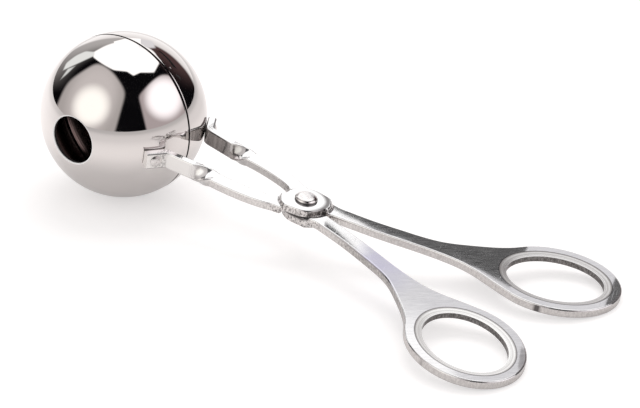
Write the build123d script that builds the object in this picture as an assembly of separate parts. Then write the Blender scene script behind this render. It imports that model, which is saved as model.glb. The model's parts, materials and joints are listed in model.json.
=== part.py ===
from build123d import *
import os
from math import acos, asin, atan2, cos, degrees, hypot, radians, sin, sqrt, tan

# Meatball maker: two spherical cups on a pair of crossed tong arms with finger loops.
# It is built level, with the ball centre at zero, X towards the finger loops, Z up
# and the seam between the cups on the XZ plane. It is then tipped to rest on the
# ball and on both loops, and centred over its own footprint.
# The near side is -Y. The upper arm carries the near cup and the far finger loop.

# Overall sizes, with the cups closed
BALL_DIAMETER = 48.0
LENGTH = 176.0
WIDTH = 78.0
PIVOT_TO_BALL = 65.4

# Cups, drawn from sheet, each with an outlet at its pole
CUP_WALL = 0.8
SEAM_GAP = 0.3
OUTLET_DIAMETER = 14.0
OUTLET_EDGE_ROUND = 0.3
RIM_EDGE_ROUND = 0.15

# Arms, one pressed part used twice, the second one turned over
PLATE = 2.5
STRIP_WIDTH = 4.9
EDGE_ROUND = 0.5
FRONT_RUN = 25.3
TWIST_LENGTH = 7.1
TWIST_TURN = 90.0
STRIP_SPLAY = 6.0

# Tab that is bent out to lie on the cup
TAB_ANGLE = 30.5
TAB_REACH = 2.8
RIVET_TO_BEND = 3.43
TAB_BEND_RADIUS = 1.6
TAB_STANDOFF = 0.05

# Hub at the pivot: a disc raised by half the plate so that both arms lie level, with
# a neck to the front strip and one to the handle, which step down round the disc
DISC_DIAMETER = 12.4
STEP_START = 0.6
STEP_LENGTH = 1.2
NECK_REACH = 3.0
FRONT_NECK_PLACE = 217.0
FRONT_NECK_HEADING = 204.0
HANDLE_NECK_PLACE = 20.5
HANDLE_NECK_HEADING = 11.0
NECK_ROOT_ANGLE = 7.2
NECK_ROOT_ROUND = 1.5
NECK_STRAIGHT = 0.7
NECK_CORNER_ROUND = 4.0

# Finger loop
LOOP_HOLE_LENGTH = 27.2
LOOP_HOLE_WIDTH = 21.8
LOOP_RING_WIDTH = 4.8
LOOP_TILT = 30.0
BEVEL_WIDTH = 2.0
BEVEL_DEPTH = 0.45

# Pivot rivet
PIVOT_SHANK_DIAMETER = 4.0
PIVOT_HEAD_DIAMETER = 6.4
PIVOT_HEAD_HEIGHT = 1.3
PIVOT_TAIL_DIAMETER = 6.0
PIVOT_TAIL_HEIGHT = 0.9
PIVOT_CLEARANCE = 0.05

# Cup rivets
CUP_SHANK_DIAMETER = 2.0
CUP_HEAD_DIAMETER = 3.4
CUP_HEAD_HEIGHT = 0.6
CUP_TAIL_DIAMETER = 3.0
CUP_TAIL_HEIGHT = 0.5
CUP_RIVET_CLEARANCE = 0.05

# Every cut runs past what it cuts by this much
OVERRUN = 1.0

# Centre line of the flat strip from the hub to the twist, as shares of the way along
# and across between the two
FRONT_SHARES = ((0.0, 0.0), (0.35, 0.63), (1.0, 1.0))

# Handle stations from the hub to the loop's centre, as shares of the way along and
# across between the two, with the width there as a share of the strip width
HANDLE_SHARES = (
    (0.0, 0.0, 1.00),
    (0.156, 0.095, 1.00),
    (0.323, 0.230, 1.05),
    (0.491, 0.389, 1.30),
    (0.607, 0.530, 2.10),
)

# Where the handle's two edges run into the loop, as shares of the way round it
INNER_JOIN_SHARE = 0.13
OUTER_JOIN_SHARE = 0.85

# A rivet head's straight rim, as a share of the head's height
HEAD_RIM_SHARE = 0.2

# Turn of the twist at each of its sections, as shares of a quarter turn
TWIST_SHARES = (0.0, 0.12, 0.5, 0.88, 1.0)

# Where the round sheet's seam lies, clear of both necks, and the slope past which an
# edge of the hub counts as upright
SHEET_SEAM_ANGLE = 100.0
RIM_SLOPE = 20.0

BALL_RADIUS = BALL_DIAMETER / 2
HALF_PLATE = PLATE / 2

# Outer outline of the finger loop, an ellipse round the hole
loop_long = LOOP_HOLE_LENGTH / 2 + LOOP_RING_WIDTH
loop_short = LOOP_HOLE_WIDTH / 2 + LOOP_RING_WIDTH
loop_turn = radians(LOOP_TILT)
loop_reach = hypot(loop_long * cos(loop_turn), loop_short * sin(loop_turn))
loop_rise = hypot(loop_long * sin(loop_turn), loop_short * cos(loop_turn))
loop_along = LENGTH - BALL_RADIUS - PIVOT_TO_BALL - loop_reach
loop_out = WIDTH / 2 - loop_rise


def bar_section(centre, heading, roll=0):
    """Round-edged section of the strip, square to a level heading and rolled about it."""
    across = Vector(0, 0, 1).cross(heading)
    x_dir = across * cos(radians(roll)) + Vector(0, 0, 1) * sin(radians(roll))
    plane = Plane(origin=centre, x_dir=x_dir, z_dir=heading)
    return plane * RectangleRounded(STRIP_WIDTH, PLATE, EDGE_ROUND)


def rim_point(angle):
    """Point on the disc's rim."""
    return Vector(DISC_DIAMETER / 2 * cos(angle), DISC_DIAMETER / 2 * sin(angle))


def neck_foot(place, heading):
    """Where a neck narrows to the strip, at an angle about the pivot, and its heading there."""
    reach = DISC_DIAMETER / 2 + NECK_REACH
    turn = radians(heading)
    return Vector(reach * cos(radians(place)), reach * sin(radians(place))), Vector(cos(turn), sin(turn))


def neck_end(place, heading):
    """Where a neck ends, past a short straight from its foot, and its heading there."""
    foot, way = neck_foot(place, heading)
    return foot + way * NECK_STRAIGHT, way


def neck_corners(foot, heading):
    """Corners of a neck at its foot, left and right of its heading, and its root on the rim."""
    across = Vector(0, 0, 1).cross(heading) * STRIP_WIDTH / 2
    left = foot + across
    right = foot - across
    return left, right, rim_point(atan2(right.Y, right.X) - radians(NECK_ROOT_ANGLE))


def neck_face(foot, heading):
    """Outline of a neck from its end to the pivot, its left edge tangent to the disc."""
    left, right, root = neck_corners(foot, heading)
    touch = rim_point(atan2(left.Y, left.X) + acos(DISC_DIAMETER / 2 / left.length))
    straight = heading * NECK_STRAIGHT
    return make_face(
        Polyline(left + straight, left, touch, Vector(0, 0), root, right, right + straight, close=True)
    )


def stepped_sheet(radius):
    """Round sheet about the pivot, raised inside the step and level outside it."""
    step_in = DISC_DIAMETER / 2 + STEP_START
    step_out = step_in + STEP_LENGTH
    level = Vector(1, 0)
    top_step = Spline((step_in, PLATE), (step_out, HALF_PLATE), tangents=(level, level))
    low_step = Spline((step_in, 0), (step_out, -HALF_PLATE), tangents=(level, level))
    outline = [
        Line((0, 0), (0, PLATE)),
        Line((0, PLATE), (step_in, PLATE)),
        top_step,
        Line((step_out, HALF_PLATE), (radius, HALF_PLATE)),
        Line((radius, HALF_PLATE), (radius, -HALF_PLATE)),
        Line((radius, -HALF_PLATE), (step_out, -HALF_PLATE)),
        low_step,
        Line((step_in, 0), (0, 0)),
    ]
    return Rot(0, 0, SHEET_SEAM_ANGLE) * revolve(Plane.XZ * make_face(outline), Axis.Z)


def hub():
    """Disc that turns against the other arm's disc, with both necks."""
    necks = ((FRONT_NECK_PLACE, FRONT_NECK_HEADING), (HANDLE_NECK_PLACE, HANDLE_NECK_HEADING))
    outline = Circle(DISC_DIAMETER / 2)
    for neck in necks:
        outline += neck_face(*neck_foot(*neck))
    for neck in necks:
        left, right, root = neck_corners(*neck_foot(*neck))
        for point, radius in ((left, NECK_CORNER_ROUND), (right, NECK_CORNER_ROUND), (root, NECK_ROOT_ROUND)):
            outline = fillet(outline.vertices().sort_by_distance(point)[0], radius)
    ends = [neck_end(*neck) for neck in necks]
    reach = DISC_DIAMETER / 2 + NECK_REACH + NECK_STRAIGHT + STRIP_WIDTH
    body = stepped_sheet(reach) & extrude(Pos(0, 0, -PLATE) * outline, 3 * PLATE)
    wire = outline.faces()[0].outer_wire()
    long_edges = []
    for edge in body.edges():
        middle = edge @ 0.5
        upright = abs((edge % 0.5).Z) > cos(radians(RIM_SLOPE))
        on_outline = wire.distance_to(Vertex(middle.X, middle.Y)) < EDGE_ROUND / 10
        at_end = min(abs((middle - point).dot(heading)) for point, heading in ends) < EDGE_ROUND / 10
        if on_outline and not upright and not at_end:
            long_edges.append(edge)
    return fillet(long_edges, EDGE_ROUND)


def front_end():
    """Where the flat strip ends and the twist begins."""
    return upright_start() + Vector(TWIST_LENGTH, TWIST_LENGTH * tan(radians(STRIP_SPLAY) / 2))


def way_point(start, end, share):
    """Point at shares of the way along and across from start to end."""
    return start + Vector((end - start).X * share[0], (end - start).Y * share[1])


def front_strip():
    """Flat bowed strip between the hub and the twist."""
    start, heading = neck_end(FRONT_NECK_PLACE, FRONT_NECK_HEADING)
    points = [way_point(start, front_end(), share) for share in FRONT_SHARES]
    path = Spline(*points, tangents=(heading, Vector(-1, 0)))
    return sweep(bar_section(path @ 0, path % 0), path)


def twist():
    """Quarter turn of the strip, from lying flat to standing on edge beside the cup."""
    end = front_end()
    start = upright_start()
    sections = []
    for share in TWIST_SHARES:
        turn = radians(STRIP_SPLAY) * share
        heading = Vector(cos(turn), sin(turn))
        sections.append(bar_section(end + (start - end) * share, heading, TWIST_TURN * share))
    return loft(sections)


def tab_frame(ball_centre):
    """Plane under the tab: its Z looks out of the cup and its X away from the seam."""
    out = Vector(cos(radians(TAB_ANGLE)), -sin(radians(TAB_ANGLE)))
    seat = ball_centre + out * (BALL_RADIUS + TAB_STANDOFF)
    return Plane(origin=seat, x_dir=Vector(0, 0, 1).cross(-out), z_dir=out)


def tab_point(reach):
    """Point of the tab's centre line, at a reach past its rivet."""
    frame = tab_frame(Vector(-PIVOT_TO_BALL, 0))
    return frame.origin + frame.z_dir * HALF_PLATE + frame.x_dir * reach


def upright_start():
    """Where the upright strip meets the twist, on its line from the bend at the tab."""
    corner = tab_point(-RIVET_TO_BEND)
    run = -FRONT_RUN - TWIST_LENGTH - corner.X
    return corner + Vector(run, run * tan(radians(STRIP_SPLAY)))


def upright_strip():
    """Strip standing on edge, bent out at its end into the tab on the cup."""
    start = upright_start()
    heading = Vector(cos(radians(STRIP_SPLAY)), sin(radians(STRIP_SPLAY)))
    path = FilletPolyline(start, tab_point(-RIVET_TO_BEND), tab_point(TAB_REACH), radius=TAB_BEND_RADIUS)
    return sweep(bar_section(start, heading, TWIST_TURN), path)


def handle_plate():
    """Level plate of the handle and the finger loop."""
    start, heading = neck_end(HANDLE_NECK_PLACE, HANDLE_NECK_HEADING)
    loop_centre = Vector(loop_along, loop_out)
    points = [way_point(start, loop_centre, share[:2]) for share in HANDLE_SHARES]
    ahead = points[1:] + [points[-1] * 2 - points[-2]]
    behind = [points[0] * 2 - points[1]] + points[:-1]
    left, right = [], []
    for (_, _, width_share), point, after, before in zip(HANDLE_SHARES, points, ahead, behind):
        across = Vector(0, 0, 1).cross((after - before).normalized())
        left.append(point + across * width_share * STRIP_WIDTH / 2)
        right.append(point - across * width_share * STRIP_WIDTH / 2)
    loop = EllipticalCenterArc(
        (loop_along, loop_out), loop_long, loop_short,
        start_angle=180, arc_size=360, rotation=LOOP_TILT,
    ).trim(INNER_JOIN_SHARE, OUTER_JOIN_SHARE)
    outer_edge = Spline(*left, loop @ 1, tangents=(heading, -(loop % 1)))
    inner_edge = Spline(*right, loop @ 0, tangents=(heading, loop % 0))
    face = make_face([Line(left[0], right[0]), outer_edge, loop, inner_edge])
    plate = extrude(Pos(0, 0, -HALF_PLATE) * face, PLATE)
    level_edges = plate.edges().filter_by(lambda edge: abs(edge.center().Z) > HALF_PLATE / 2)
    long_edges = level_edges.filter_by(lambda edge: edge.length > STRIP_WIDTH + EDGE_ROUND)
    return fillet(long_edges, EDGE_ROUND)


def hole_face(grow, height):
    """Ellipse of the finger hole at one height, grown outwards."""
    place = Pos(loop_along, loop_out, height) * Rot(0, 0, LOOP_TILT)
    return place * Ellipse(LOOP_HOLE_LENGTH / 2 + grow, LOOP_HOLE_WIDTH / 2 + grow)


def finger_hole():
    """Cutter of the finger hole, with a shallow bevel on both faces."""
    cutter = extrude(hole_face(0, -HALF_PLATE - OVERRUN), PLATE + 2 * OVERRUN)
    slope = BEVEL_WIDTH / BEVEL_DEPTH
    for side in (1, -1):
        low = hole_face(0, side * (HALF_PLATE - BEVEL_DEPTH))
        high = hole_face(BEVEL_WIDTH + slope * OVERRUN, side * (HALF_PLATE + OVERRUN))
        cutter += loft([low, high])
    return cutter


def arm():
    """Whole pressed arm, the pivot at zero and the near cup's side at -Y."""
    body = upright_strip() + twist() + front_strip() + hub() + handle_plate()
    body -= finger_hole()
    body -= Cylinder(PIVOT_SHANK_DIAMETER / 2 + PIVOT_CLEARANCE, 2 * PLATE + OVERRUN)
    return body - tab_frame(Vector(-PIVOT_TO_BALL, 0)) * cup_rivet_hole()


def cup_rivet_hole():
    """Cutter of the cup rivet's hole, square to the tab."""
    return Cylinder(CUP_SHANK_DIAMETER / 2 + CUP_RIVET_CLEARANCE, 2 * PLATE + 2 * OVERRUN)


def near_cup():
    """Half ball with its outlet at the pole and a hole for the cup rivet."""
    inner_radius = BALL_RADIUS - CUP_WALL
    outlet_radius = OUTLET_DIAMETER / 2
    width = BALL_DIAMETER - outlet_radius
    quarter = Pos(outlet_radius + width / 2, -SEAM_GAP / 2 - width / 2) * Rectangle(width, width)
    wall = (Circle(BALL_RADIUS) - Circle(inner_radius)) & quarter
    outlet_corners = wall.vertices().filter_by(lambda corner: corner.X < BALL_RADIUS / 2)
    wall = fillet(outlet_corners, OUTLET_EDGE_ROUND)
    rim_corners = wall.vertices().filter_by(lambda corner: corner.Y > -SEAM_GAP)
    wall = fillet(rim_corners, RIM_EDGE_ROUND)
    return revolve(wall, Axis.Y) - tab_frame(Vector(0, 0)) * cup_rivet_hole()


def dome(diameter, height):
    """Rivet head: a short straight rim under a round crown."""
    radius = diameter / 2
    rim = height * HEAD_RIM_SHARE
    crown = height - rim
    crown_radius = (crown**2 + radius**2) / (2 * crown)
    half_turn = asin(radius / crown_radius) / 2
    middle = (crown_radius * sin(half_turn), height - crown_radius * (1 - cos(half_turn)))
    outline = [
        Line((0, 0), (radius, 0)),
        Line((radius, 0), (radius, rim)),
        ThreePointArc((radius, rim), middle, (0, height)),
        Line((0, height), (0, 0)),
    ]
    return revolve(Plane.XZ * make_face(outline), Axis.Z)


def pivot_rivet():
    """Shank through both discs, with a domed head above and a flatter one below."""
    shank = Cylinder(PIVOT_SHANK_DIAMETER / 2, 2 * PLATE)
    head = Pos(0, 0, PLATE) * dome(PIVOT_HEAD_DIAMETER, PIVOT_HEAD_HEIGHT)
    tail = Pos(0, 0, -PLATE) * Rot(180, 0, 0) * dome(PIVOT_TAIL_DIAMETER, PIVOT_TAIL_HEIGHT)
    return head + shank + tail


def near_cup_rivet():
    """Shank through tab and cup, with a domed head outside and a flat one inside the cup."""
    inner_radius = BALL_RADIUS - CUP_WALL
    tail_seat = sqrt(inner_radius**2 - (CUP_TAIL_DIAMETER / 2) ** 2) - BALL_RADIUS - TAB_STANDOFF
    tail_top = tail_seat - CUP_RIVET_CLEARANCE
    grip = PLATE - tail_top
    shank = Pos(0, 0, PLATE - grip / 2) * Cylinder(CUP_SHANK_DIAMETER / 2, grip)
    head = Pos(0, 0, PLATE) * dome(CUP_HEAD_DIAMETER, CUP_HEAD_HEIGHT)
    tail = Pos(0, 0, tail_top) * Rot(180, 0, 0) * dome(CUP_TAIL_DIAMETER, CUP_TAIL_HEIGHT)
    return tab_frame(Vector(0, 0)) * (head + shank + tail)


# Level assembly, the ball centre at zero
at_pivot = Pos(PIVOT_TO_BALL, 0, 0)
turned_over = Rot(180, 0, 0)
upper_arm = at_pivot * arm()
cup = near_cup()
cup_rivet = near_cup_rivet()
level_parts = {
    "near_cup": cup,
    "far_cup": turned_over * cup,
    "upper_arm": upper_arm,
    "lower_arm": turned_over * upper_arm,
    "pivot_rivet": at_pivot * pivot_rivet(),
    "near_cup_rivet": cup_rivet,
    "far_cup_rivet": turned_over * cup_rivet,
}

# Rest: the ball and the rounded lower edge of both loop ends touch the surface
end_along = LENGTH - BALL_RADIUS - EDGE_ROUND
end_below = HALF_PLATE - EDGE_ROUND
tip = asin((BALL_RADIUS - EDGE_ROUND) / hypot(end_along, end_below)) - atan2(end_below, end_along)
tipped = Pos(0, 0, BALL_RADIUS) * Rot(0, degrees(tip), 0)
rested = Compound([tipped * part for part in level_parts.values()]).bounding_box()
place = Pos(-(rested.min.X + rested.max.X) / 2, 0, 0) * tipped

os.makedirs("parts", exist_ok=True)
for name, part in level_parts.items():
    export_step(place * part, f"parts/{name}.step")

print("tip in degrees", degrees(tip))
print("ball centre", place.position)
print("pivot", (place * at_pivot).position)
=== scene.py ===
import json
from math import asin, atan2, cos, pi, radians, sin, sqrt
from types import SimpleNamespace

import bmesh
import bpy
from mathutils import Matrix, Vector


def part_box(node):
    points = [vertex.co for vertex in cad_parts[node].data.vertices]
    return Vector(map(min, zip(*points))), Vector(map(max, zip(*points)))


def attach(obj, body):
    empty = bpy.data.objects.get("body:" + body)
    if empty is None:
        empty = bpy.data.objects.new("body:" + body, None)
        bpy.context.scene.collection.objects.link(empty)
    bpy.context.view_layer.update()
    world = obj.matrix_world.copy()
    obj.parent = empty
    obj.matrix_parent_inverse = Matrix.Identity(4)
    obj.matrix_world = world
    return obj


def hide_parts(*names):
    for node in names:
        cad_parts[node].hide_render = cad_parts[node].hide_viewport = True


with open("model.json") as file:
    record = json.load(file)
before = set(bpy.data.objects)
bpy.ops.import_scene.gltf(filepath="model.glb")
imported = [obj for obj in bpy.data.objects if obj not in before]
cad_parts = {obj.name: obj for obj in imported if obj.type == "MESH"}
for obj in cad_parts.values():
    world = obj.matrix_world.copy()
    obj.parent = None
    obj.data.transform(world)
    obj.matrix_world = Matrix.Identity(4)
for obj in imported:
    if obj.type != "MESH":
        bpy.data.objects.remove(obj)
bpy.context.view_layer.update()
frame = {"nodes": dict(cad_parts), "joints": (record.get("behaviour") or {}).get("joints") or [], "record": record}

# The two cups. Each is half a ball drawn from thin stainless sheet, with a round outlet
# pressed out at its pole and a rolled edge. It is polished to a mirror outside and left
# duller inside, where the drawing marks run round the wall and painted shade darkens it.
mounts = {mount["name"]: mount for mount in frame["record"]["mounts"]}
near_low, near_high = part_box("near_cup")
ball_centre = Vector(((near_low.x + near_high.x) / 2, 0, (near_low.z + near_high.z) / 2))
ball_radius = (near_high.x - near_low.x) / 2
cup_wall = 0.0008
rim_edge = 0.0003
seam_half = 0.00015
outlet_radius = mounts["near_outlet"]["dims"]["r_mm"] / 1000
outlet_edge = 0.0003
collar_wall = 0.0006
collar_reach = 0.0006
collar_edge = collar_wall / 3
weld_distance = 0.000002
arc_steps = 56
corner_steps = 6
cup_steps_round = 160
ball_steel = (0.80, 0.765, 0.75, 1)
ball_steel_hazy = (0.832, 0.7956, 0.78, 1)
inside_painted_shade_dark = (0.038, 0.026, 0.024, 1)
inside_painted_shade_light = (0.27, 0.20, 0.185, 1)
seam_painted_shade = (0.02, 0.018, 0.018, 1)
lip_painted_highlight = (1.0, 0.985, 0.975, 1)
lip_foot_painted_shade = (0.04, 0.035, 0.035, 1)


def rounded(corner, before, after, radius):
    """Points of a round at a corner of a profile, between its two neighbours."""
    way_in = (before - corner).normalized()
    way_out = (after - corner).normalized()
    half = way_in.angle(way_out) / 2
    reach = radius * cos(half) / sin(half)
    centre = corner + (way_in + way_out).normalized() * (radius / sin(half))
    start = corner + way_in * reach - centre
    end = corner + way_out * reach - centre
    spread = start.angle(end)
    points = []
    for step in range(corner_steps + 1):
        share = step / corner_steps
        turned = start * sin((1 - share) * spread) + end * sin(share * spread)
        points.append(centre + turned / sin(spread))
    return points


def cup_profile():
    """Section of the cup wall from the rim round the outside to the outlet and back inside."""
    inner_radius = ball_radius - cup_wall

    def arc(radius, hole_radius):
        rim_angle = asin(seam_half / radius)
        spread = pi / 2 - asin(hole_radius / radius) - rim_angle
        angles = [rim_angle + spread * step / arc_steps for step in range(arc_steps + 1)]
        return [Vector((radius * cos(angle), radius * sin(angle))) for angle in angles]

    outside = arc(ball_radius, outlet_radius)
    inside = arc(inner_radius, outlet_radius + collar_wall)[::-1]
    collar_end = sqrt(inner_radius ** 2 - outlet_radius ** 2) - collar_reach
    lip = Vector((outlet_radius, collar_end))
    lip_back = Vector((outlet_radius + collar_wall, collar_end))
    profile = rounded(outside[0], inside[-1], outside[1], rim_edge)
    profile += outside[1:-1]
    profile += rounded(outside[-1], outside[-2], lip, outlet_edge)
    profile += rounded(lip, outside[-1], lip_back, collar_edge)
    profile += [lip_back]
    profile += inside[:-1]
    profile += rounded(inside[-1], inside[-2], outside[0], rim_edge)
    return profile


class Wiring:
    """The nodes of one tree, with a short way to make and link each kind in use."""

    def __init__(self, tree):
        self.tree = tree

    def fill(self, node, inputs):
        """Feeds a node's inputs: another node's output is linked, a fixed value is set."""
        for name, value in inputs.items():
            if isinstance(value, bpy.types.NodeSocket):
                self.tree.links.new(value, node.inputs[name])
            else:
                node.inputs[name].default_value = value

    def node(self, kind, inputs=None, **settings):
        """A new node with its settings made and its inputs fed."""
        made = self.tree.nodes.new(kind)
        for name, value in settings.items():
            setattr(made, name, value)
        self.fill(made, inputs or {})
        return made

    def math(self, operation, *values):
        """A number worked out from others."""
        node = self.node("ShaderNodeMath", dict(enumerate(values)), operation=operation)
        return node.outputs[0]

    def vector(self, operation, *values):
        """A vector, or a number from the operations that measure."""
        node = self.node("ShaderNodeVectorMath", dict(enumerate(values)), operation=operation)
        return node.outputs[1 if operation in ("DOT_PRODUCT", "LENGTH", "DISTANCE") else 0]

    def axes(self, vector):
        """The X, Y and Z of a vector."""
        return self.node("ShaderNodeSeparateXYZ", {0: vector}).outputs

    def product(self, *masks):
        """Mask that is full only where all the given ones are."""
        whole = masks[0]
        for mask in masks[1:]:
            whole = self.math("MULTIPLY", whole, mask)
        return whole

    def ranged(self, value, low, high, low_out=0.0, high_out=1.0, spread="LINEAR"):
        """Value carried over from one range to another, and held at the ends."""
        inputs = {"From Min": low, "From Max": high, "To Min": low_out, "To Max": high_out}
        inputs["Value"] = value
        node = self.node("ShaderNodeMapRange", inputs, interpolation_type=spread)
        return node.outputs["Result"]

    def between(self, value, start, full, fading, end):
        """Mask that rises from its start until it is full, and fades again to its end."""
        return self.product(self.ranged(value, start, full), self.ranged(value, end, fading))

    def mixed(self, mask, under, over, kind="RGBA"):
        """Colour, or number for the kind FLOAT, with a second one over it by a mask."""
        first, result = (6, 2) if kind == "RGBA" else (2, 0)
        inputs = {0: mask, first: under, first + 1: over}
        return self.node("ShaderNodeMix", inputs, data_type=kind).outputs[result]

    def ramp(self, value, *stops, spread="LINEAR"):
        """Colour that runs through stops, each a share and a colour, as the value rises."""
        node = self.node("ShaderNodeValToRGB", {"Fac": value})
        node.color_ramp.interpolation = spread
        elements = node.color_ramp.elements
        for element, stop in ((elements[0], stops[0]), (elements[1], stops[-1])):
            element.position, element.color = stop
        for share, colour in stops[1:-1]:
            elements.new(share).color = colour
        return node.outputs["Color"]

    def noise(self, place, scale, detail):
        """Cloudy noise with so many clouds to a metre."""
        inputs = {"Vector": place, "Scale": scale, "Detail": detail}
        return self.node("ShaderNodeTexNoise", inputs).outputs["Fac"]

    def relief(self, height, strength, depth):
        """Normal of a surface with low bumps."""
        inputs = {"Height": height, "Strength": strength, "Distance": depth}
        return self.node("ShaderNodeBump", inputs).outputs["Normal"]


def turning_tree():
    """Geometry nodes that turn a profile round the Z axis, as a lathe or a press does."""
    tree = bpy.data.node_groups.new("turned_about_axis", "GeometryNodeTree")
    identifiers = {}
    for name, kind in (("Profile", "Geometry"), ("Steps Round", "Int"),
                       ("Weld Distance", "Float"), ("Finish", "Material")):
        socket = tree.interface.new_socket(name, in_out="INPUT", socket_type="NodeSocket" + kind)
        identifiers[name] = socket.identifier
    tree.interface.new_socket("Turned", in_out="OUTPUT", socket_type="NodeSocketGeometry")
    wiring = Wiring(tree)
    given = wiring.node("NodeGroupInput").outputs
    count = wiring.node("GeometryNodeAttributeDomainSize", {"Geometry": given["Profile"]})
    columns = wiring.math("ADD", given["Steps Round"], 1)
    grid = wiring.node("GeometryNodeMeshGrid", {
        "Vertices X": count.outputs["Point Count"], "Vertices Y": columns,
    })
    index = wiring.node("GeometryNodeInputIndex").outputs[0]
    row = wiring.math("FLOOR", wiring.math("DIVIDE", wiring.math("ADD", index, 0.5), columns))
    column = wiring.math("SUBTRACT", index, wiring.math("MULTIPLY", row, columns))
    sampled = wiring.node("GeometryNodeSampleIndex", {
        "Geometry": given["Profile"], "Value": wiring.node("GeometryNodeInputPosition").outputs[0],
        "Index": row,
    }, data_type="FLOAT_VECTOR")
    share_round = wiring.math("DIVIDE", column, given["Steps Round"])
    turn = wiring.node("ShaderNodeVectorRotate", {
        "Vector": sampled.outputs["Value"], "Angle": wiring.math("MULTIPLY", share_round, 2 * pi),
    }, rotation_type="Z_AXIS")
    placed = wiring.node("GeometryNodeSetPosition", {
        "Geometry": grid.outputs["Mesh"], "Position": turn.outputs["Vector"],
    })
    welded = wiring.node("GeometryNodeMergeByDistance", {
        "Geometry": placed.outputs["Geometry"], "Distance": given["Weld Distance"],
    })
    smooth = wiring.node("GeometryNodeSetShadeSmooth", {"Geometry": welded.outputs["Geometry"]})
    whole = wiring.node("GeometryNodeRealizeInstances", {"Geometry": smooth.outputs["Geometry"]})
    finish = wiring.node("GeometryNodeSetMaterial", {
        "Geometry": whole.outputs["Geometry"], "Material": given["Finish"],
    })
    wiring.node("NodeGroupOutput", {"Turned": finish.outputs["Geometry"]})
    return tree, identifiers


turning, turning_inputs = turning_tree()


def turned_piece(name, profile, steps_round, material, place):
    """Turns a profile of (radius, height) points and sets it at its place as a plain mesh."""
    outline = bpy.data.meshes.new(name + "_profile")
    outline.from_pydata([(radius, 0, height) for radius, height in profile], [], [])
    blank = bpy.data.objects.new(name + "_profile", outline)
    bpy.context.scene.collection.objects.link(blank)
    modifier = blank.modifiers.new("turned", "NODES")
    modifier.node_group = turning
    modifier[turning_inputs["Steps Round"]] = steps_round
    modifier[turning_inputs["Weld Distance"]] = weld_distance
    modifier[turning_inputs["Finish"]] = material
    evaluated = blank.evaluated_get(bpy.context.evaluated_depsgraph_get())
    mesh = bpy.data.meshes.new_from_object(evaluated)
    mesh.name = name
    bpy.data.objects.remove(blank)
    cleaned = bmesh.new()
    cleaned.from_mesh(mesh)
    bmesh.ops.remove_doubles(cleaned, verts=cleaned.verts, dist=weld_distance)
    bmesh.ops.recalc_face_normals(cleaned, faces=cleaned.faces)
    cleaned.to_mesh(mesh)
    cleaned.free()
    mesh.transform(place)
    piece = bpy.data.objects.new(name, mesh)
    bpy.context.scene.collection.objects.link(piece)
    return piece


def hairline_group():
    """Fine straight marks of an abrasive: long along one axis, narrow across it."""
    group = bpy.data.node_groups.new("hairlines", "ShaderNodeTree")
    for name, kind in (("Vector", "Vector"), ("Stretch", "Vector"), ("Detail", "Float")):
        group.interface.new_socket(name, in_out="INPUT", socket_type="NodeSocket" + kind)
    group.interface.new_socket("Lines", in_out="OUTPUT", socket_type="NodeSocketFloat")
    wiring = Wiring(group)
    given = wiring.node("NodeGroupInput").outputs
    noise = wiring.node("ShaderNodeTexNoise", {
        "Vector": wiring.vector("MULTIPLY", given["Vector"], given["Stretch"]),
        "Scale": 1, "Detail": given["Detail"], "Roughness": 0.65,
    })
    wiring.node("NodeGroupOutput", {"Lines": noise.outputs["Fac"]})
    return group


hairlines = hairline_group()


def hairlines_at(wiring, place, stretch, detail=3.0):
    """The hairlines in one material, with so many to a metre along each axis."""
    inputs = {"Vector": place, "Stretch": stretch, "Detail": detail}
    return wiring.node("ShaderNodeGroup", inputs, node_tree=hairlines).outputs["Lines"]


def new_metal(name):
    """A material, the wiring of its nodes and its shader, which is plain metal."""
    material = bpy.data.materials.new(name)
    material.use_nodes = True
    shader = material.node_tree.nodes["Principled BSDF"]
    shader.inputs["Metallic"].default_value = 1
    return material, Wiring(material.node_tree), shader


def mirror_steel():
    """Mirror-polished sheet: duller inside, painted shade inside and at the seam, a painted highlight on the cut
    edge.
    """
    material, wiring, shader = new_metal("mirror_polished_steel")
    ranged, mixed = wiring.ranged, wiring.mixed
    where = wiring.node("ShaderNodeTexCoord").outputs["Object"]
    from_centre = wiring.vector("SUBTRACT", where, ball_centre)
    from_poles = wiring.vector("LENGTH", wiring.vector("MULTIPLY", from_centre, (1, 0, 1)))
    from_seam = wiring.math("ABSOLUTE", wiring.axes(where)["Y"])

    # Masks: the inner wall, the joint of the rims, the outlet's cut edge and its lip's foot
    inner_wall = ball_radius - cup_wall * 0.95
    inside = wiring.math("LESS_THAN", wiring.vector("LENGTH", from_centre), inner_wall)
    joint = ranged(from_seam, seam_half + rim_edge * 0.9, seam_half + rim_edge * 0.5)
    cut_edge = ranged(from_poles, outlet_radius + outlet_edge * 1.3, outlet_radius + outlet_edge * 0.9)
    outlet_height = sqrt(ball_radius ** 2 - outlet_radius ** 2)
    lip_foot = ranged(from_seam, outlet_height - outlet_edge * 1.4, outlet_height - outlet_edge * 1.8)

    haze = wiring.noise(where, 90, 4)
    drawing_marks = hairlines_at(wiring, where, (90, 5200, 90))
    polished = wiring.ramp(haze, (0, ball_steel), (1, ball_steel_hazy))
    # Inside: the drawing marks run between two tones darkened with painted shade
    drawn = wiring.ramp(drawing_marks, (0.35, inside_painted_shade_dark), (0.75, inside_painted_shade_light))
    colour = mixed(inside, polished, drawn)
    # Painted shade: a dark line over the rounded rims at the seam
    colour = mixed(joint, colour, seam_painted_shade)
    # Painted highlight on the outlet's cut edge, with painted shade at its lip's foot
    colour = mixed(cut_edge, colour, mixed(lip_foot, lip_painted_highlight, lip_foot_painted_shade))
    roughness = mixed(inside, ranged(haze, 0.35, 0.75, 0.02, 0.06), 0.14, "FLOAT")
    wiring.fill(shader, {
        "Base Color": colour,
        "Metallic": ranged(cut_edge, 0, 1, 1.0, 0.05),
        "Roughness": mixed(cut_edge, roughness, 0.45, "FLOAT"),
        "Normal": wiring.relief(wiring.noise(where, 60, 1), 0.3, 0.00008),
    })
    return material


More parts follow.
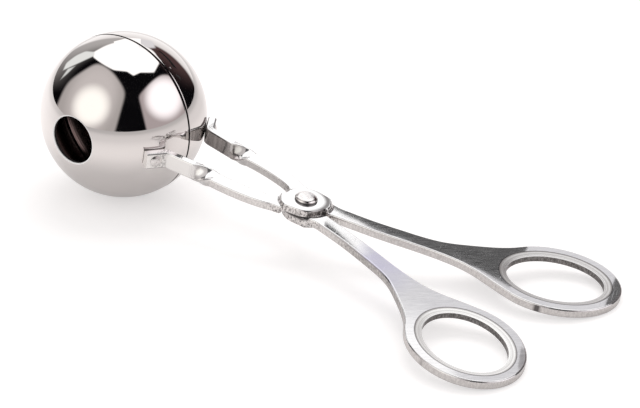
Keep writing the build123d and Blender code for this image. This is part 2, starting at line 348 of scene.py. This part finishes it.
cup_steel = mirror_steel()
for cup_name, body, side in (("near_cup", "upper", 1), ("far_cup", "lower", -1)):
    cup_place = Matrix.Translation(ball_centre) @ Matrix.Rotation(side * pi / 2, 4, "X")
    half_ball = turned_piece(
        cup_name + "_half_ball", cup_profile(), cup_steps_round, cup_steel, cup_place
    )
    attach(half_ball, body)
    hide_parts(cup_name)

# The two arms. One pressing of thick stainless strip, used twice with the second turned
# over: tab, twisted strip, stepped disc, handle and finger loop. The faces are polished
# over a fine brushed grain, the sheared sides are mottled, and the holes are coined.
pivot_place = Vector(frame["joints"][0]["pos_m"])
pivot_axis = Vector(frame["joints"][0]["axis"])
slope = atan2(pivot_axis.x, pivot_axis.z)
sloped = Matrix.Rotation(slope, 4, "Y")
loop_middle = sloped.inverted() @ (Vector(mounts["far_loop"]["pos_m"]) - pivot_place)
loop_tilt = radians(30)
hole_half = (0.0136, 0.0109)
hole_edge = 0.0005
bevel_width = 0.0020

# Places from the pivot towards the handles, and for the handling marks also out from the
# middle. A span says where a finish starts and is full, and one of four numbers also where
# it fades and ends.
bend_place = -0.0419
mark_places = ((0.0725, 0.0074), (0.0657, 0.0371))
grain_span = (0.008, 0.020)
handle_reflection_span = (0.022, 0.028, 0.034, 0.046)
shade_span = (0.012, 0.024, 0.047, 0.056)
flat_span = (-0.0350, -0.0300)
upright_span = (-0.0315, -0.0335)
twist_inside = (-0.0255, -0.0350)
twist_reflection_span = (-0.050, -0.032)
tab_span = (-0.0395, -0.0415)

# Spans of the distance from a mark, from the bend, from the pivot and from the plane
# between the discs
mark_span = (0.0013, 0.0005)
bend_span = (0.0015, 0.0006)
dark_mottle_span = (0.0125, 0.0085)
disc_side = (0.0074, 0.0068)
disc_edge = (0.0055, 0.0064, 0.0070, 0.0073)
disc_joint = (0.00055, 0.00025)
upper_disc = (0.0002, 0.0006)
upper_disc_top = (0.0015, 0.0019)

grain_turn = radians(38)
scratch_turn = radians(-22)
dark_reflection_turn = radians(32)
arm_bright = (0.84, 0.83, 0.83, 1)
arm_polish = (0.82, 0.81, 0.81, 1)
arm_grain = (0.66, 0.65, 0.66, 1)
handle_painted_reflection = (0.62, 0.60, 0.74, 1)
upright_painted_highlight = (0.93, 0.905, 0.885, 1)
upright_painted_dark_reflection = (0.12, 0.11, 0.107, 1)
twist_painted_dark_reflection = (0.30, 0.28, 0.272, 1)
side_light = (0.82, 0.795, 0.78, 1)
side_dark = (0.56, 0.535, 0.525, 1)
side_shade = (0.28, 0.268, 0.262, 1)
hole_wall_painted_shade = (0.120, 0.113, 0.110, 1)
# Dark of the handling marks and the mottle, and of painted shade in creases, joints and bends
dark_marks_and_painted_shade = (0.12, 0.11, 0.11, 1)
far_bevel_painted_shade = (0.66, 0.65, 0.65, 1)
near_bevel_painted_highlight = (0.97, 0.96, 0.95, 1)
far_rings_painted_darker = (0.40, 0.38, 0.37, 1)
near_rings_painted_lighter = (0.55, 0.53, 0.52, 1)


def arm_places(wiring):
    """Where a point of an arm lies: distances from the pivot, and masks of the arm's parts."""
    ranged, product = wiring.ranged, wiring.product
    at = SimpleNamespace()
    texture = wiring.node("ShaderNodeTexCoord").outputs
    levelled = wiring.node("ShaderNodeVectorRotate", {
        "Vector": wiring.vector("SUBTRACT", texture["Object"], pivot_place),
        "Axis": (0, 1, 0), "Angle": -slope,
    }, rotation_type="AXIS_ANGLE")
    at.place = levelled.outputs["Vector"]
    at.along, across, at.height = wiring.axes(at.place)
    at.out = wiring.math("ABSOLUTE", across)
    at.on_near = wiring.math("LESS_THAN", across, 0.0)
    at.from_pivot = wiring.vector("LENGTH", at.place)

    # How level the surface lies, and how far it faces away from the middle of the tool
    at.level = wiring.math("ABSOLUTE", wiring.vector("DOT_PRODUCT", texture["Normal"], pivot_axis))
    outwards = product(wiring.axes(texture["Normal"])["Y"], wiring.math("SIGN", across))
    at.face = ranged(at.level, 0.86, 0.995)
    at.outer_side = ranged(outwards, 0.2, 0.5)
    at.plate_side = product(ranged(at.level, 0.55, 0.25), ranged(at.along, *flat_span))
    at.upright = product(ranged(at.along, *upright_span), ranged(at.level, 0.9, 0.6))
    at.inner_side = product(ranged(outwards, -0.4, -0.8), ranged(at.along, *twist_inside))

    # The finger hole's ellipse, which its wall, its coined bevel and the crease follow
    loop_x = wiring.math("SUBTRACT", at.along, loop_middle.x)
    loop_y = wiring.math("SUBTRACT", at.out, loop_middle.y)
    long_way = wiring.math("ADD", product(loop_x, cos(loop_tilt)), product(loop_y, sin(loop_tilt)))
    short_way = wiring.math(
        "SUBTRACT", product(loop_y, cos(loop_tilt)), product(loop_x, sin(loop_tilt))
    )

    def from_hole(grow):
        squares = [
            wiring.math("POWER", wiring.math("DIVIDE", way, half + grow), 2.0)
            for way, half in zip((long_way, short_way), hole_half)
        ]
        return wiring.math("SQRT", wiring.math("ADD", *squares))

    at.coined = from_hole(bevel_width)
    at.bevel = product(
        ranged(at.coined, 1.006, 0.994), wiring.math("GREATER_THAN", at.level, 0.5)
    )
    at.crease = product(wiring.between(at.coined, 0.982, 0.998, 1.004, 1.02), at.face)
    at.hole_wall = product(ranged(from_hole(hole_edge), 1.0, 0.98), ranged(at.level, 0.6, 0.3))
    return at


def arm_marks(wiring, at):
    """The marks of making: grain and scratches, clouds, sheared mottle, rings of the bevel."""
    def streaks(turn, stretch, detail=3.0):
        inputs = {"Vector": at.place, "Angle": turn}
        spun = wiring.node("ShaderNodeVectorRotate", inputs, rotation_type="Z_AXIS")
        return hairlines_at(wiring, spun.outputs["Vector"], stretch, detail)

    ring_inputs = {"W": at.coined, "Scale": 34, "Detail": 3}
    rings = wiring.node("ShaderNodeTexNoise", ring_inputs, noise_dimensions="1D")
    return SimpleNamespace(
        grain=streaks(grain_turn, (7000, 260, 7000)),
        scratches=wiring.ranged(streaks(scratch_turn, (4200, 130, 4200), 1.0), 0.70, 0.80),
        clouds=wiring.noise(at.place, 140, 2),
        mottle=streaks(0.0, (2300, 2300, 1300), 6.0),
        upright=streaks(0.0, (420, 40, 40), 2.0),
        rings=rings.outputs["Fac"],
    )


def face_colour(wiring, at, marks):
    """Polished faces: brushed grain on the handles, and a cool painted reflection on the near one."""
    ranged, mixed = wiring.ranged, wiring.mixed
    brushed = mixed(ranged(at.along, *grain_span), arm_polish, arm_grain)
    colour = mixed(ranged(marks.grain, 0.35, 0.65), brushed, arm_bright)
    # Painted reflection: a cool, cloudy tone on the near handle's face
    painted_reflection_on_handle = wiring.product(
        wiring.between(at.along, *handle_reflection_span), at.on_near, ranged(marks.clouds, 0.2, 0.7, 0.35, 0.9)
    )
    return mixed(painted_reflection_on_handle, colour, handle_painted_reflection)


def side_colour(wiring, at, marks):
    """Sheared sides: mottled and darker near the pivot, painted shade at the necks, marked by handling."""
    ranged, mixed, product = wiring.ranged, wiring.mixed, wiring.product
    colour = mixed(ranged(marks.mottle, 0.30, 0.62), side_dark, side_light)
    # Darker mottle near the pivot
    dark_mottle_near_pivot = product(ranged(at.from_pivot, *dark_mottle_span), ranged(marks.mottle, 0.52, 0.38))
    colour = mixed(dark_mottle_near_pivot, colour, dark_marks_and_painted_shade)
    # Painted shade on the outer sides of the necks
    shaded = product(
        wiring.between(at.along, *shade_span), at.outer_side,
        ranged(marks.mottle, 0.36, 0.56, 1.0, 0.35),
    )
    colour = mixed(shaded, colour, side_shade)
    handled = 0.0
    for mark_along, mark_out in mark_places:
        off_along = wiring.math("POWER", wiring.math("SUBTRACT", at.along, mark_along), 2.0)
        off_out = wiring.math("POWER", wiring.math("SUBTRACT", at.out, mark_out), 2.0)
        off_mark = wiring.math("SQRT", wiring.math("ADD", off_along, off_out))
        mark = ranged(off_mark, *mark_span, 0.0, 0.95)
        handled = wiring.math("MAXIMUM", handled, mark)
    return mixed(handled, colour, dark_marks_and_painted_shade)


def with_strips(wiring, at, marks, colour):
    """Adds the upright strips: painted highlight outside, painted dark reflection inside, painted shade at the
    bend and the tab's edges.
    """
    ranged, mixed, product = wiring.ranged, wiring.mixed, wiring.product
    # Painted highlight on the outer sides of the upright strips
    colour = mixed(at.upright, colour, upright_painted_highlight)
    # Painted dark reflection on the inner sides, with lighter painted bands
    inner_painted_reflection = mixed(ranged(at.along, *twist_reflection_span), upright_painted_dark_reflection, twist_painted_dark_reflection)
    inner_painted_reflection = mixed(ranged(marks.upright, 0.45, 0.75, 0.0, 0.35), inner_painted_reflection, upright_painted_highlight)
    colour = mixed(at.inner_side, colour, inner_painted_reflection)
    # Painted shade across the bend and along the tab's rounded edges
    from_bend = wiring.math("ABSOLUTE", wiring.math("SUBTRACT", at.along, bend_place))
    bend = product(ranged(from_bend, *bend_span), ranged(marks.mottle, 0.56, 0.42, 0.0, 0.6))
    rounding = wiring.between(at.level, 0.25, 0.45, 0.80, 0.95)
    tab_edge_painted_shade = product(rounding, ranged(at.along, *tab_span, 0.0, 0.9))
    return mixed(wiring.math("MAXIMUM", bend, tab_edge_painted_shade), colour, dark_marks_and_painted_shade)


def with_discs(wiring, at, colour):
    """Adds painted shade in the joint between the discs, and a painted dark reflection on the upper one's edge by
    the handles.
    """
    ranged, mixed, product = wiring.ranged, wiring.mixed, wiring.product
    height = wiring.math("ABSOLUTE", at.height)
    # Painted shade in the groove between the discs
    joint = product(
        ranged(height, *disc_joint), ranged(at.from_pivot, *disc_side), ranged(at.level, 0.97, 0.9)
    )
    colour = mixed(joint, colour, dark_marks_and_painted_shade)
    # Painted dark reflection on the upper disc's edge towards the handles
    dark_reflection_way = (cos(dark_reflection_turn), sin(dark_reflection_turn), 0)
    to_handles = wiring.vector("DOT_PRODUCT", wiring.vector("NORMALIZE", at.place), dark_reflection_way)
    past_front = wiring.math(
        "MAXIMUM", ranged(at.height, *upper_disc_top), ranged(to_handles, 0.60, 0.88)
    )
    edge = product(
        wiring.between(at.from_pivot, *disc_edge), ranged(to_handles, 0.05, 0.75, 0.0, 0.9),
        ranged(at.height, *upper_disc), past_front,
    )
    return mixed(edge, colour, dark_marks_and_painted_shade)


def with_holes(wiring, at, marks, colour):
    """Adds the finger holes: painted shade on the wall, the coined bevel with its rings painted darker on the far
    loop than the near one, and painted shade in the crease round it.
    """
    ranged, mixed, product = wiring.ranged, wiring.mixed, wiring.product
    # Painted shade on the hole's wall
    wall = product(at.hole_wall, ranged(marks.mottle, 0.62, 0.40, 0.70, 1.0))
    colour = mixed(wall, colour, hole_wall_painted_shade)
    # The bevel and its ring lines: painted darker on the far loop, lighter on the near one
    colour = mixed(at.bevel, colour, mixed(at.on_near, far_bevel_painted_shade, near_bevel_painted_highlight))
    ring_lines = product(at.bevel, ranged(marks.rings, 0.56, 0.42, 0.0, 0.9))
    colour = mixed(ring_lines, colour, mixed(at.on_near, far_rings_painted_darker, near_rings_painted_lighter))
    # Painted shade in the crease round the bevel
    return mixed(product(at.crease, 0.9), colour, dark_marks_and_painted_shade)


def polished_arm_steel():
    """The whole finish of an arm: its colour, and how bright and smooth each part is."""
    material, wiring, shader = new_metal("polished_arm_steel")
    ranged, mixed, product = wiring.ranged, wiring.mixed, wiring.product
    at = arm_places(wiring)
    marks = arm_marks(wiring, at)
    colour = mixed(at.plate_side, face_colour(wiring, at, marks), side_colour(wiring, at, marks))
    colour = with_strips(wiring, at, marks, colour)
    colour = with_discs(wiring, at, colour)
    colour = with_holes(wiring, at, marks, colour)

    roughness = wiring.math(
        "ADD", ranged(marks.grain, 0.3, 0.7, 0.015, 0.045), ranged(marks.clouds, 0.35, 0.7, 0.0, 0.01)
    )
    roughness = wiring.math("ADD", roughness, product(marks.scratches, 0.06))
    roughness = mixed(at.face, 0.09, roughness, "FLOAT")
    roughness = mixed(at.plate_side, roughness, ranged(marks.mottle, 0.3, 0.6, 0.30, 0.20), "FLOAT")
    roughness = mixed(at.bevel, roughness, ranged(marks.rings, 0.40, 0.60, 0.46, 0.26), "FLOAT")

    metallic = mixed(at.plate_side, ranged(marks.grain, 0.36, 0.64, 0.91, 0.82), 1.0, "FLOAT")
    flat_bevel = product(at.bevel, wiring.math("SUBTRACT", 1.0, at.crease))
    metallic = mixed(flat_bevel, metallic, mixed(at.on_near, 0.80, 0.40, "FLOAT"), "FLOAT")
    outer_upright = product(at.upright, wiring.math("SUBTRACT", 1.0, at.inner_side))
    metallic = mixed(outer_upright, metallic, 0.55, "FLOAT")

    height = wiring.math("SUBTRACT", product(marks.grain, 0.06), product(marks.scratches, 0.2))
    height = mixed(at.bevel, height, marks.rings, "FLOAT")
    height = mixed(at.plate_side, height, marks.mottle, "FLOAT")
    wiring.fill(shader, {
        "Base Color": colour, "Metallic": metallic, "Roughness": roughness,
        "Normal": wiring.relief(height, 0.18, 0.00002),
    })
    return material


arm_finish = polished_arm_steel()
for arm_name in ("upper_arm", "lower_arm"):
    for slot in frame["nodes"][arm_name].material_slots:
        slot.material = arm_finish

# The pivot rivet. A solid stainless rivet through both discs. Its head is a low button
# with a rolled shoulder, and its lower end is set to a flatter one.
plate = 0.0025
pivot_shank = 0.0020
pivot_head = (0.0032, 0.0013)
pivot_tail = (0.0030, 0.0009)
head_rim_share = 0.2
pivot_reach = 0.010
head_steps = 20
rivet_steps_round = 72
rivet_dark = (0.70, 0.67, 0.66, 1)
rivet_light = (0.84, 0.81, 0.80, 1)
rivet_painted_shade = (0.10, 0.095, 0.095, 1)


def button(radius, height, side):
    """Profile of a button head from its middle to its seat: nearly flat, round shouldered."""
    rim = height * head_rim_share
    points = [(0, side * (plate + height))]
    for step in range(1, head_steps + 1):
        reach = sin(step / head_steps * pi / 2)
        rise = rim + (height - rim) * sqrt(1 - reach ** 4)
        points.append((radius * reach, side * (plate + rise)))
    return points + [(radius, side * plate)]


def rivet_steel():
    """Steel of the rivets, tumbled bright, with painted shade on the shoulders round the heads."""
    material, wiring, shader = new_metal("rivet_steel_bright")
    ranged = wiring.ranged
    texture = wiring.node("ShaderNodeTexCoord").outputs
    where, normal = texture["Object"], texture["Normal"]
    specks = wiring.noise(where, 1400, 3)
    colour = wiring.ramp(specks, (0.3, rivet_dark), (0.6, rivet_light))

    from_pivot = wiring.vector("DISTANCE", where, pivot_place)
    at_pivot = wiring.math("LESS_THAN", from_pivot, pivot_reach)
    lying_flat = wiring.math("ABSOLUTE", wiring.vector("DOT_PRODUCT", normal, pivot_axis))
    # Painted shade on the pivot rivet's shoulders and on the cup rivets' flanks
    shoulder = wiring.product(ranged(lying_flat, 0.45, 0.10), at_pivot)
    cup_way = wiring.vector("NORMALIZE", wiring.vector("SUBTRACT", where, ball_centre))
    on_cup = ranged(at_pivot, 0, 1, 0.8, 0)
    facing_out = wiring.vector("DOT_PRODUCT", normal, cup_way)
    cup_edge = wiring.product(ranged(facing_out, 0.80, 0.50), on_cup)
    painted_shade_edges = wiring.math("MAXIMUM", shoulder, cup_edge)
    wiring.fill(shader, {
        "Base Color": wiring.mixed(painted_shade_edges, colour, rivet_painted_shade),
        "Roughness": ranged(specks, 0, 1, 0.12, 0.26),
        "Normal": wiring.relief(specks, 0.15, 0.00002),
    })
    return material


rivet_finish = rivet_steel()
rivet_profile = button(*pivot_head, 1) + [(pivot_shank, plate), (pivot_shank, -plate)]
rivet_profile += reversed(button(*pivot_tail, -1))
rivet_place = Matrix.Translation(pivot_place) @ sloped
pivot_rivet = turned_piece(
    "pivot_rivet_turned", rivet_profile, rivet_steps_round, rivet_finish, rivet_place
)
pivot_rivet.data.set_sharp_from_angle(angle=radians(50))
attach(pivot_rivet, "lower")
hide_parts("pivot_rivet")

# The cup rivets. One small stainless rivet holds each tab to its cup. Its head is a low
# dome, and its inner end is set to a slightly flatter one against the cup's wall.
for rivet_name in ("near_cup_rivet", "far_cup_rivet"):
    for slot in frame["nodes"][rivet_name].material_slots:
        slot.material = rivet_finish

# The camera. It looks down on the tool from its near side and its handles, through a long
# lens, and is turned a little about its own line of sight.
camera_place = Vector((0.397418, -0.561604, 0.352926))
camera_turn = radians(34.8375)
camera_tilt = radians(26.17443)
camera_roll = radians(1.7474)

camera = bpy.data.cameras.new("camera")
camera.lens = 155.31
camera.sensor_width = 36
camera.clip_end = 100
camera_way = Vector((
    -sin(camera_turn) * cos(camera_tilt), cos(camera_turn) * cos(camera_tilt), -sin(camera_tilt)
))
level_right = camera_way.cross(Vector((0, 0, 1))).normalized()
camera_right = level_right * cos(camera_roll) + level_right.cross(camera_way) * sin(camera_roll)
camera_up = camera_right.cross(camera_way)
camera_object = bpy.data.objects.new("camera", camera)
camera_axes = Matrix((camera_right, camera_up, -camera_way)).transposed().to_4x4()
camera_object.matrix_world = Matrix.Translation(camera_place) @ camera_axes
bpy.context.scene.collection.objects.link(camera_object)
bpy.context.scene.camera = camera_object

# The table. A pale sheet that runs out to the horizon and keeps the tool's soft shadow.
# The polished steel sees it painted as a darker board: painted shadow grey at the foot of
# the ball, palest round it, darker again further off, and a painted glow behind the ball.
table_reach = 30
table_paint = (0.68, 0.655, 0.65, 1)
board_reach = 0.5
board_stops = (
    (0.05, (0.565, 0.54, 0.535, 1)), (0.11, (0.70, 0.665, 0.655, 1)),
    (0.28, (0.55, 0.52, 0.515, 1)), (1.0, (0.38, 0.358, 0.354, 1)),
)
ball_foot = (ball_centre.x, 0, 0)
front_way = (0.90, -0.436, 0)
foot_reach = 0.12

table = bpy.data.meshes.new("table_top")
table_corners = [
    (x * table_reach, y * table_reach, 0) for x, y in ((-1, -1), (1, -1), (1, 1), (-1, 1))
]
table.from_pydata(table_corners, [], [(0, 1, 2, 3)])
table_top = bpy.data.objects.new("table_top", table)
bpy.context.scene.collection.objects.link(table_top)
paint = bpy.data.materials.new("white_table")
paint.use_nodes = True
board = Wiring(paint.node_tree)
seen = board.node("ShaderNodeLightPath").outputs
table_point = board.node("ShaderNodeTexCoord").outputs["Object"]
from_foot = board.vector("SUBTRACT", table_point, ball_foot)
far_off = board.vector("LENGTH", from_foot)
# Painted reflection of the table for glossy rays, with painted shadow at the ball's foot
board_painted_reflection = board.ramp(board.ranged(far_off, 0, board_reach), *board_stops, spread="EASE")
to_front = board.vector("DOT_PRODUCT", board.vector("NORMALIZE", from_foot), front_way)
# Painted glow in the board behind the ball, for glossy rays only
behind = board.product(
    board.ranged(to_front, -0.25, -0.90, 0, 0.30), board.ranged(far_off, 0, foot_reach),
    seen["Is Glossy Ray"],
)
glow = board.ranged(seen["Is Camera Ray"], 0, 1, 0.23, 0.46)
board.fill(paint.node_tree.nodes["Principled BSDF"], {
    "Base Color": board.mixed(seen["Is Glossy Ray"], table_paint, board_painted_reflection),
    "Roughness": 0.9, "Specular IOR Level": 0,
    "Emission Color": (1, 1, 1, 1), "Emission Strength": board.math("ADD", glow, behind),
})
table.materials.append(paint)

# The studio. Its walls are what the polished steel mirrors: a light box and a ceiling
# above, two soft windows and dark walls between them. A place on the walls is given by
# where the ball shows it in the camera's view: to the right and up, in ball radii.
towards_camera = (camera_place - ball_centre).normalized()
room_right = (camera_right - towards_camera * camera_right.dot(towards_camera)).normalized()
room_up = towards_camera.cross(room_right)
world = bpy.data.worlds.new("studio_room")
bpy.context.scene.world = world
world.use_nodes = True
studio = Wiring(world.node_tree)
way = studio.node("ShaderNodeTexCoord").outputs["Generated"]
halfway = studio.vector("NORMALIZE", studio.vector("ADD", way, towards_camera))
room_x = studio.vector("DOT_PRODUCT", halfway, room_right)
room_y = studio.vector("DOT_PRODUCT", halfway, room_up)
room_point = studio.node("ShaderNodeCombineXYZ", {0: room_x, 1: room_y, 2: 1}).outputs[0]


def eased(value, low, high, low_out=0.0, high_out=1.0):
    """Value of the room carried softly from one range to another."""
    return studio.ranged(value, low, high, low_out, high_out, spread="SMOOTHSTEP")


def round_level(x, y, half_width, half_height, turn=0, power=2.0):
    """Grows from zero at the middle of a round shape to one at its edge and on outside."""
    c, s = cos(radians(turn)), sin(radians(turn))
    dx = studio.math("SUBTRACT", room_x, x)
    dy = studio.math("SUBTRACT", room_y, y)
    along = studio.math("ADD", studio.product(dx, c), studio.product(dy, s))
    aside = studio.math("SUBTRACT", studio.product(dy, c), studio.product(dx, s))
    shares = [
        studio.math("ABSOLUTE", studio.math("DIVIDE", way_off, half))
        for way_off, half in ((along, half_width), (aside, half_height))
    ]
    return studio.math("ADD", *(studio.math("POWER", share, power) for share in shares))


def panel(corners, soft=0.010, corner=0.05):
    """Mask of a flat panel without hollows, with its corners in anticlockwise order."""
    depth = None
    for (x0, y0), (x1, y1) in zip(corners, corners[1:] + corners[:1]):
        length = sqrt((x1 - x0) ** 2 + (y1 - y0) ** 2)
        nx, ny = (y0 - y1) / length, (x1 - x0) / length
        inwards = studio.vector("DOT_PRODUCT", room_point, (nx, ny, -(nx * x0 + ny * y0)))
        depth = inwards if depth is None else studio.math("SMOOTH_MIN", depth, inwards, corner)
    return eased(depth, -soft, soft)


# Walls: black in the middle, fading to grey at the upper left and to brown at the right,
# with the pale room past them
wall_black = (0.0030, 0.0028, 0.0036, 1)
wall_grey = (0.24, 0.228, 0.224, 1)
wall_grey_high = (0.50, 0.485, 0.48, 1)
wall_brown = (0.085, 0.050, 0.050, 1)
room_pale = (0.84, 0.815, 0.81, 1)
room_rim = (1.25, 1.24, 1.24, 1)
dome = round_level(-0.003, 0.218, 0.885, 0.665, turn=-8.6, power=1.95)
wall_edge = studio.mixed(eased(room_y, 0.50, 0.88), wall_grey, wall_grey_high)
wall_edge = studio.mixed(eased(room_x, -0.1, 0.3), wall_edge, wall_brown)
wall_fade = studio.product(eased(dome, 0.50, 0.95), eased(room_y, 0.24, 0.60))
room = studio.mixed(wall_fade, wall_black, wall_edge)
towards_rim = studio.math(
    "ADD", eased(round_level(0, 0, 1, 1), 0.78, 0.99, 0.0, 0.85), eased(room_y, 0.30, 0.0, 0.0, 0.5)
)
pale = studio.mixed(towards_rim, room_pale, room_rim)
higher = eased(room_y, 0.55, 0.82, 0.0, 0.05)
past_dome = eased(studio.math("SUBTRACT", dome, higher), 0.965, 1.035)
room = studio.mixed(past_dome, room, pale)

# Left window with a lamp behind its cloth
left_cloth_dim = (0.47, 0.44, 0.43, 1)
left_cloth = (0.66, 0.62, 0.61, 1)
left_lamp = (1.30, 1.28, 1.22, 1)
lit_side = eased(round_level(-0.37, 0.17, 0.28, 0.46, turn=-20), 1.5, 0.3)
cloth = studio.mixed(lit_side, left_cloth_dim, left_cloth)
lamp = studio.product(
    eased(round_level(-0.385, 0.090, 0.18, 0.21, turn=-20), 2.1, 0.30), eased(room_y, -0.32, -0.06)
)
cloth = studio.mixed(lamp, cloth, left_lamp)
left_window = panel([
    (-0.315, 0.61), (-0.504, 0.51), (-0.665, 0.387), (-0.77, 0.187), (-0.82, 0.03), (-0.52, -0.40),
    (-0.16, -0.40), (0.025, 0.26), (-0.05, 0.41), (-0.15, 0.53),
], soft=0.022, corner=0.10)
room = studio.mixed(left_window, room, cloth)

# Right window, which only the near half of the ball shows
right_cloth = (0.47, 0.41, 0.415, 1)
right_lamp = (1.34, 1.29, 1.32, 1)
lamp = eased(round_level(0.478, 0.190, 0.17, 0.19), 2.5, 0.55)
cloth = studio.mixed(lamp, right_cloth, right_lamp)
near_half = eased(studio.axes(halfway)["Y"], 0.012, -0.012)
right_window = panel([
    (0.450, 0.470), (0.3200, 0.385), (0.175, 0.210), (0.31, -0.36), (0.72, -0.36), (0.86, -0.06),
    (0.79, 0.15), (0.68, 0.32), (0.56, 0.46),
], soft=0.018, corner=0.06)
room = studio.mixed(studio.product(near_half, right_window), room, cloth)

# Light box overhead with its lower corner, and two slits beside it
box_glow = (1.34, 1.34, 1.34, 1)
upper_slit_glow = (0.92, 0.95, 0.94, 1)
lower_slit_glow = (0.80, 0.83, 0.82, 1)
light_box = panel([
    (-0.36, 0.73), (-0.36, 0.65), (-0.26, 0.595), (-0.17, 0.523), (0.02, 0.500), (0.209, 0.487),
    (0.36, 0.492), (0.435, 0.629), (0.36, 0.74), (0.265, 0.805), (0.13, 0.85), (0.0, 0.86),
    (-0.10, 0.85), (-0.22, 0.81),
], corner=0.02)
room = studio.mixed(light_box, room, box_glow)
lower_corner = panel([(-0.02, 0.54), (0.115, 0.452), (0.28, 0.53)], corner=0.02)
room = studio.mixed(lower_corner, room, box_glow)
upper_slit = panel([
    (-0.345, 0.735), (-0.45, 0.745), (-0.565, 0.695), (-0.68, 0.605), (-0.72, 0.515), (-0.60, 0.570),
    (-0.345, 0.69),
], corner=0.02)
room = studio.mixed(upper_slit, room, upper_slit_glow)
lower_slit = panel([
    (-0.66, 0.535), (-0.715, 0.46), (-0.76, 0.385), (-0.67, 0.475), (-0.54, 0.58),
], corner=0.01)
room = studio.mixed(lower_slit, room, lower_slit_glow)

# Ceiling that the level faces mirror: white over the strips and discs, paler past them,
# and white again beside the near loop
ceiling_pale = (0.84, 0.835, 0.86, 1)
past_discs = panel([
    (0.18, 0.795), (0.28, 0.780), (0.38, 0.785), (0.34, 0.87), (0.18, 0.895),
], soft=0.014, corner=0.03)
room = studio.mixed(past_discs, room, ceiling_pale)
over_strips = panel([
    (-0.10, 0.82), (0.202, 0.81), (0.202, 0.895), (0.05, 0.905), (-0.12, 0.86),
], soft=0.003, corner=0.01)
room = studio.mixed(over_strips, room, box_glow)
by_near_loop = panel([
    (0.195, 0.795), (0.236, 0.795), (0.233, 0.815), (0.2275, 0.8212), (0.2165, 0.8258),
    (0.205, 0.8285), (0.195, 0.8285),
], soft=0.0018, corner=0.002)
room = studio.mixed(by_near_loop, room, box_glow)

# What the steel doesn't mirror is an even light, and the backdrop is white
plain_light = (0.80, 0.80, 0.80, 1)
white = (1, 1, 1, 1)
paths = studio.node("ShaderNodeLightPath").outputs
lit = studio.mixed(paths["Is Glossy Ray"], plain_light, room)
lit = studio.mixed(paths["Is Camera Ray"], lit, white)
studio.fill(world.node_tree.nodes["Background"], {"Color": lit, "Strength": 1})

# The lamp. A soft light overhead and behind, which the steel doesn't mirror.
lamp_place = Vector((-0.15, 0.35, 0.75))
overhead = bpy.data.lights.new("overhead_light", "AREA")
overhead.shape = "RECTANGLE"
overhead.size = 0.7
overhead.size_y = 0.5
overhead.energy = 2.2
overhead_light = bpy.data.objects.new("overhead_light", overhead)
overhead_light.location = lamp_place
overhead_light.rotation_euler = (-lamp_place).to_track_quat("-Z", "Y").to_euler()
overhead_light.visible_glossy = False
bpy.context.scene.collection.objects.link(overhead_light)

# Screens behind the tool, sheets of cloth that only the polished metal sees. A dark band
# shades the far handle, a strip the neck of the near one, and each loop's end has its own.
# Each has its tone, and its corners in metres along the room and up.
screen_distance = 0.200
screens = {
    "far_handle_screen": (0.020, (
        (-0.0880, 0.1560), (-0.0500, 0.1440), (-0.0250, 0.1360), (-0.0080, 0.1250), (-0.0085, 0.1503),
        (-0.0221, 0.1515), (-0.0390, 0.1565), (-0.0540, 0.1599), (-0.0595, 0.1618), (-0.0637, 0.1632),
        (-0.0741, 0.1647), (-0.0791, 0.1659), (-0.0880, 0.1669),
    )),
    "near_neck_screen": (0.02, (
        (-0.0868, 0.1738), (-0.0823, 0.1741), (-0.0754, 0.1754), (-0.0705, 0.1765), (-0.0655, 0.1775),
        (-0.0650, 0.1785), (-0.0868, 0.1785),
    )),
    "far_loop_screen": (0.05, (
        (0.0262, 0.1180), (0.0400, 0.1180), (0.0400, 0.1480), (0.0290, 0.1480), (0.0270, 0.1330),
    )),
    "near_loop_screen": (0.44, ((0.0040, 0.1700), (0.0140, 0.1690), (0.0140, 0.1800), (0.0060, 0.1790))),
}
for screen_name, (tone, corners) in screens.items():
    screen_cloth = bpy.data.materials.new(screen_name + "_cloth")
    screen_cloth.use_nodes = True
    cloth_shader = screen_cloth.node_tree.nodes["Principled BSDF"]
    cloth_shader.inputs["Base Color"].default_value = (tone, tone * 0.97, tone, 1)
    cloth_shader.inputs["Specular IOR Level"].default_value = 0
    sheet = bpy.data.meshes.new(screen_name)
    sheet.from_pydata([(x, screen_distance, z) for x, z in corners], [], [range(len(corners))])
    sheet.materials.append(screen_cloth)
    screen = bpy.data.objects.new(screen_name, sheet)
    bpy.context.scene.collection.objects.link(screen)
    for ray in ("visible_camera", "visible_diffuse", "visible_shadow", "visible_transmission"):
        setattr(screen, ray, False)

bpy.context.scene.view_settings.view_transform = "Standard"
